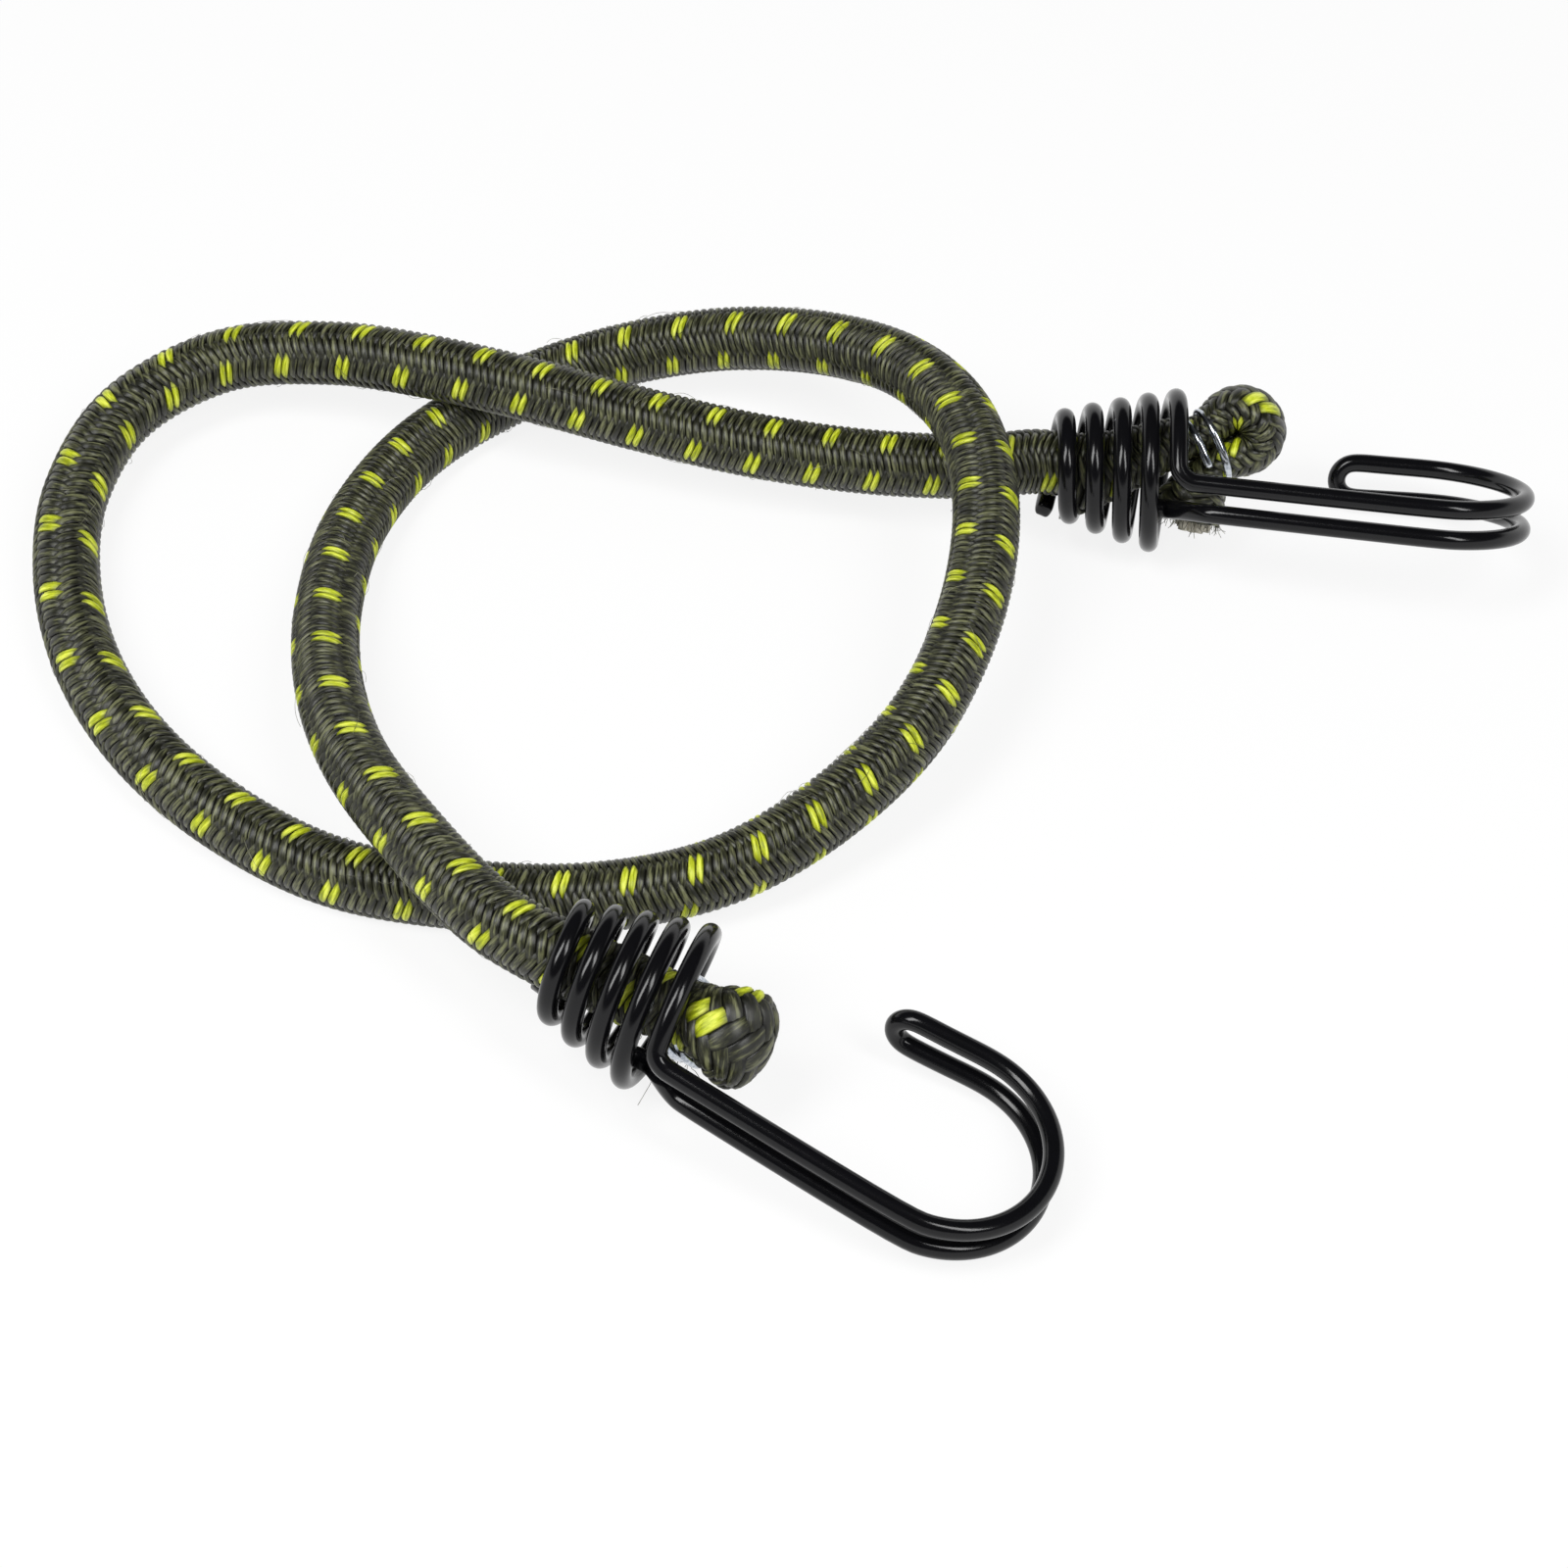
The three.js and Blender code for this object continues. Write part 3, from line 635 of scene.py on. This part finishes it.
def woven(points, direction):
    """Lifts each yarn over two and under two of the others.

    Returns its place along in turns, radius, angle, UV in millimetres and how high it stands, from 0 to 1, which sets
    the painted shade and painted highlight in its colour.
    """
    along = points[:, 0]
    angle = np.arctan2(points[:, 2], points[:, 1])
    height = np.hypot(points[:, 1], points[:, 2]) - 1
    places_along, places_round = YARNS_EACH_WAY * along, YARNS_EACH_WAY * angle / tau
    lane = places_along - direction * places_round
    yarn = np.round(lane)
    across = lane - yarn
    wave = direction * np.cos(pi / 2 * (2 * places_round + direction * across - 0.5))
    lift = LIFT_GAIN * wave / np.sqrt(wave ** 2 + LIFT_SOFTNESS)
    middle = BRAID_RADIUS - YARN_THICKNESS - YARN_LIFT
    radius = middle + YARN_LIFT * lift + YARN_THICKNESS * np.clip(height, 0, 1)
    along = along + across * (YARN_OVERLAP - 1) / YARNS_EACH_WAY
    turn_length = np.hypot(pi * CORD_DIAMETER, USUAL_PITCH) / MM
    width = USUAL_PITCH / YARNS_EACH_WAY / MM
    number = np.mod(yarn, YARNS_EACH_WAY) + (YARNS_EACH_WAY if direction > 0 else 0)
    uv = np.stack([along * turn_length, across * width + UV_STEP_MM * number], axis=-1)
    # How high the place stands, for the painted shade in the dips between floats and the painted highlight on their
    # crowns
    crown = np.clip(CROWN_LEVEL + CROWN_CHANGE * wave, 0, 1) * np.clip(height, 0, 1)
    return along, radius, angle, uv, crown


def braid(name, stretch_name, direction, first, count, start, end, material, body):
    """One set of yarns along a stretch. start and end are shares of the stretch."""
    stretch = STRETCHES[stretch_name]
    turns = [stretch.wound[0] + (stretch.wound[-1] - stretch.wound[0]) * share for share in (start, end)]
    bm = straight_yarns(direction, first, count, *turns)
    mesh = bpy.data.meshes.new(name)
    bm.to_mesh(mesh)
    bm.free()
    wound, radius, angle, uv, crown = woven(read_points(mesh), direction)
    points = stretch.place(wound, radius, angle)
    points[:, 2] = np.maximum(points[:, 2], YARN_CLEARANCE)
    mesh.vertices.foreach_set("co", points.ravel())
    corners = np.empty(len(mesh.loops), int)
    mesh.loops.foreach_get("vertex_index", corners)
    mesh.uv_layers.new(name="yarn").data.foreach_set("uv", uv[corners].ravel())
    # The crown carries the painted shade and painted highlight into the yarn's colour.
    mesh.attributes.new("crown", "FLOAT", "POINT").data.foreach_set("value", crown)
    shade_smooth(mesh)
    mesh.update()
    return place_object(name, mesh, material, body)


# Free cord
def build_core(line):
    """The rubber core in one length between the hooks, as a curve with its centreline."""
    curve = bpy.data.curves.new("rubber_core", "CURVE")
    curve.dimensions = "3D"
    curve.bevel_depth = CORE_RADIUS
    curve.bevel_resolution = 6
    curve.use_fill_caps = True
    spline = curve.splines.new("POLY")
    spline.points.add(len(line) - 1)
    spline.points.foreach_set("co", np.c_[line, np.ones(len(line))].ravel())
    core = place_object("rubber_threads_core", curve, RUBBER_THREADS, "cord")
    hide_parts("rubber_core")
    return core


def loose_hairs():
    """Single filaments that have worked loose all along the cord."""
    chance = np.random.default_rng(SEEDS["hairs"])
    free = STRETCHES["free"]
    first, last = free.wound[0] + 1, free.wound[-1] - 1
    routes = []
    for _ in range(HAIR_COUNT):
        wound, angle = first + (last - first) * chance.random(), tau * chance.random()
        drift, curl = HAIR_DRIFT * chance.normal(), HAIR_CURL * chance.normal()
        rise = (HAIR_RISE_MM + HAIR_RISE_SPARE_MM * chance.random() ** 3) * MM
        t = np.linspace(0, 1, HAIR_STEPS)
        radius = BRAID_RADIUS - HAIR_ROOT_DEPTH + rise * np.sin(pi * t * HAIR_ARCH)
        swing = (HAIR_ROUND + HAIR_ROUND_SPARE * chance.random()) * t + curl * t ** 2
        route = free.place(wound + drift * t, radius, angle + swing)
        route[:, 2] = np.maximum(route[:, 2], HAIR_CLEARANCE)
        routes.append(route)
    return swept_piece("loose_hairs", routes, HAIR_RADIUS, FIBRE_SIDES, LOOSE_FIBRES, "cord", "braid")


def build_cord():
    """The rubber core with the braid round it, declared as one cord."""
    free = STRETCHES["free"]
    core = build_core(free.line[::CORE_STEP])
    for half, (start, end) in enumerate(((0, 0.5), (0.5, 1))):
        for way, direction, first, count in (("right", 1, 0, YARNS_EACH_WAY), ("left", -1, REST_FIRST, REST_COUNT)):
            name = f"yarns_{way}_{half}"
            braid(name, "free", direction, first, count, start, end, OLIVE_YARN, "cord")
    braid("yarns_tracer", "free", -1, TRACER_FIRST, TRACER_COUNT, 0, 1, YELLOW_YARN, "cord")
    loose_hairs()
    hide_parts("braided_sheath")


# Folded cord ends
def build_fold_braid(side):
    body = f"{side}_end"
    start, end = (0, 1 - SPLIT_SHARE) if side == "back" else (SPLIT_SHARE, 1)
    outer = braid(f"fold_right_{side}", side, 1, 0, YARNS_EACH_WAY, start, end, OLIVE_YARN, body)
    braid(f"fold_left_{side}", side, -1, REST_FIRST, REST_COUNT, start, end, OLIVE_YARN, body)
    braid(f"fold_tracer_{side}", side, -1, TRACER_FIRST, TRACER_COUNT, start, end, YELLOW_YARN, body)
    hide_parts(f"sheath_fold_{side}")


def hexagon_places(rings, spacing):
    """Places of threads packed round a middle one."""
    places = []
    for q in range(-rings, rings + 1):
        for r in range(-rings, rings + 1):
            if abs(q + r) <= rings:
                places.append((spacing * (q + r / 2), spacing * r * 3 ** 0.5 / 2))
    return places


def thread_routes(end, way, inward, across, chance):
    """The rubber threads at a cut. way points out of the cut, inward and across span its section."""
    routes = []
    for a, b in hexagon_places(THREAD_RINGS, THREAD_DIAMETER):
        foot = end + inward * a * THREAD_SPREAD + across * b * THREAD_SPREAD
        lean = unit(way + THREAD_LEAN * chance.normal(size=3))
        reach = (THREAD_LEAST_MM + THREAD_SPARE_MM * chance.random()) * MM
        routes.append([foot - way * root for root in THREAD_ROOTS] + [foot + lean * reach])
    return routes


def fibre_routes(end, way, inward, across, fray, chance):
    """The frayed fibres round a cut, in its braid."""
    reach, combed = fray
    routes = []
    for _ in range(FRAY_COUNT):
        angle = tau * chance.random()
        out = (FRAY_DEPTH + FRAY_DEPTH_SPARE * chance.random()) * BRAID_RADIUS
        outward = unit(inward) * cos(angle) + unit(across) * sin(angle)
        foot = end + inward * cos(angle) * out + across * sin(angle) * out
        length = (FRAY_LEAST_MM + reach * chance.random() ** 2) * MM
        bend = FRAY_BEND * chance.normal(size=3) + FRAY_COMB * np.array(combed)
        route = []
        for t in FRAY_STEPS:
            spread = FRAY_SPREAD + FRAY_SPREAD_SPARE * chance.random() * t
            swerve = outward * spread + FRAY_SWAY * bend * t
            route.append(foot + way * length * t + swerve * length * t)
        routes.append([np.maximum(point, (-1, -1, HAIR_CLEARANCE)) for point in route])
    return routes


def build_fold_core(side):
    """The rubber inside the folded end, and its threads and the braid's fibres standing out at the cut."""
    chance = np.random.default_rng(SEEDS[side])
    stretch = STRETCHES[side]
    order = slice(None, None, -1) if side == "back" else slice(None)
    line, inward, across = stretch.line[order], stretch.side[order], stretch.height[order]
    rubber = RUBBER_THREADS, f"{side}_end", "rubber_threads"
    core = swept_piece(f"fold_core_{side}", [line[2:-4:3]], FOLD_CORE_RADIUS, FOLD_CORE_SIDES, *rubber)
    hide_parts(f"core_fold_{side}")
    cut = line[-1], unit(line[-1] - line[-3]), inward[-1], across[-1]
    threads = thread_routes(*cut, chance)
    swept_piece(f"rubber_ends_{side}", threads, THREAD_DIAMETER / 2, THREAD_SIDES, *rubber)
    fibres = fibre_routes(*cut, FRAY[side], chance)
    swept_piece(
        f"frayed_fibres_{side}", fibres, FRAY_RADIUS, FIBRE_SIDES, LOOSE_FIBRES, f"{side}_end", "braid",
    )


build_cord()
for end in HOOKS:
    build_fold_braid(end)
for end in HOOKS:
    build_fold_core(end)


# Hook wires and clamp rings
def rounded_wire(side):
    """A copy of the part's faceted hook wire with its facets rounded off."""
    name, node = f"hook_wire_{side}", f"wire_hook_{side}"
    bm = bmesh.new()
    bm.from_mesh(frame["nodes"][node].data)
    bmesh.ops.remove_doubles(bm, verts=bm.verts[:], dist=MERGE_DISTANCE)
    bmesh.ops.join_triangles(
        bm, faces=bm.faces[:], angle_face_threshold=JOIN_ANGLE, angle_shape_threshold=JOIN_ANGLE,
    )
    for vert in bm.verts:
        vert.normal_update()
    for vert in bm.verts:
        vert.co += vert.normal * WIRE_GROWTH * vert.calc_shell_factor()
    mesh = bpy.data.meshes.new(name)
    bm.to_mesh(mesh)
    bm.free()
    shade_smooth(mesh)
    piece = place_object(name, mesh, COATED_WIRE, f"{side}_end")
    rounding = piece.modifiers.new("rounding", "SUBSURF")
    rounding.levels = rounding.render_levels = 2
    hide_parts(node)


def clamp_ring(side):
    """One wire pressed a little over one turn round the neck of the fold, its ends lapped side by side."""
    place, middle = fold_frame(side), fold_middle(side)
    route = []
    for turn in RING_TURNS:
        long_way, short_way = (
            RING_SHORT * np.sign(v) * abs(v) ** RING_SQUARENESS for v in (sin(turn), cos(turn))
        )
        long_way *= -RING_LONG / RING_SHORT
        along = RING_STARTS[side] + RING_PITCH * turn / tau + RING_LEAN * short_way - RING_TILT * long_way
        route.append(place @ (middle + FOLD_OUT * along + FOLD_UP * long_way + Vector((0, short_way, 0))))
    ring = swept_piece(
        f"clamp_ring_{side}", [route], RING_WIRE_RADIUS, RING_WIRE_SIDES, ZINC_WIRE, f"{side}_end", "galvanised_wire",
    )
    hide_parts(f"hog_ring_{side}")


for end in HOOKS:
    rounded_wire(end)
    clamp_ring(end)


# Floor and light
def seen_directly(tree):
    """One for the camera's own rays and for reflected and transmitted ones, nought for the light on the object."""
    ray = add_node(tree, "ShaderNodeLightPath")
    either = add_node(tree, "ShaderNodeMath", links={
        0: ray.outputs["Is Camera Ray"], 1: ray.outputs["Is Glossy Ray"],
    }, operation="MAXIMUM")
    return add_node(tree, "ShaderNodeMath", links={
        0: either.outputs["Value"], 1: ray.outputs["Is Transmission Ray"],
    }, operation="MAXIMUM").outputs["Value"]


def set_floor():
    """White paper. It is seen partly as plain white, which keeps the shadows pale, and far off it is all white."""
    bm = bmesh.new()
    bmesh.ops.create_grid(
        bm, x_segments=1, y_segments=1, size=FLOOR_HALF_SIDE, matrix=Matrix.Translation((0, 0, FLOOR_HEIGHT)),
    )
    mesh = bpy.data.meshes.new("floor")
    bm.to_mesh(mesh)
    bm.free()
    floor = bpy.data.objects.new("floor", mesh)
    bpy.context.scene.collection.objects.link(floor)
    material = bpy.data.materials.new("white paper floor")
    material.use_nodes = True
    tree = material.node_tree
    tree.nodes.clear()
    paper = add_node(tree, "ShaderNodeBsdfDiffuse", {"Color": (0.9, 0.9, 0.9, 1)})
    white = add_node(tree, "ShaderNodeEmission", {"Color": (1, 1, 1, 1), "Strength": 1.0})
    where = add_node(tree, "ShaderNodeTexCoord")
    distance = add_node(tree, "ShaderNodeVectorMath", links={0: where.outputs["Object"]}, operation="LENGTH")
    near, far = FLOOR_GLOW_FADE
    glow = add_node(
        tree, "ShaderNodeMapRange", {"From Min": near, "From Max": far, "To Min": FLOOR_GLOW, "To Max": 1.0},
        {"Value": distance.outputs["Value"]}, interpolation_type="SMOOTHSTEP",
    )
    share = add_node(
        tree, "ShaderNodeMath", links={0: glow.outputs["Result"], 1: seen_directly(tree)}, operation="MULTIPLY",
    )
    mixed = add_node(tree, "ShaderNodeMixShader", links={
        0: share.outputs["Value"], 1: paper.outputs["BSDF"], 2: white.outputs["Emission"],
    })
    add_node(tree, "ShaderNodeOutputMaterial", links={"Surface": mixed.outputs["Shader"]})
    floor.data.materials.append(material)


def set_world():
    """A white studio that fades to dark overhead, as it shows in the wire, and an even soft light on the object."""
    world = bpy.data.worlds.new("studio")
    world.use_nodes = True
    tree = world.node_tree
    tree.nodes.clear()
    where = add_node(tree, "ShaderNodeTexCoord")
    height = add_node(tree, "ShaderNodeSeparateXYZ", links={"Vector": where.outputs["Generated"]})
    low, high = STUDIO_FADE
    fade = add_node(
        tree, "ShaderNodeMapRange", {"From Min": low, "From Max": high, "To Min": 1.0, "To Max": STUDIO_DARK},
        {"Value": height.outputs["Z"]}, interpolation_type="SMOOTHSTEP",
    )
    shown = add_node(
        tree, "ShaderNodeBackground", {"Color": (1, 1, 1, 1)}, {"Strength": fade.outputs["Result"]},
    )
    lit = add_node(tree, "ShaderNodeBackground", {"Color": (1, 1, 1, 1), "Strength": WORLD_STRENGTH})
    mixed = add_node(tree, "ShaderNodeMixShader", links={
        0: seen_directly(tree), 1: lit.outputs["Background"], 2: shown.outputs["Background"],
    })
    add_node(tree, "ShaderNodeOutputWorld", links={"Surface": mixed.outputs["Shader"]})
    bpy.context.scene.world = world


def set_lamps():
    for name, (place, (width, length), power) in LAMPS.items():
        data = bpy.data.lights.new(name, "AREA")
        data.shape = "RECTANGLE"
        data.size, data.size_y = width, length
        data.energy = power
        lamp = bpy.data.objects.new(name, data)
        lamp.location = place
        lamp.rotation_euler = (LAMP_TARGET - Vector(place)).to_track_quat("-Z", "Y").to_euler()
        bpy.context.scene.collection.objects.link(lamp)


set_floor()
set_world()
set_lamps()
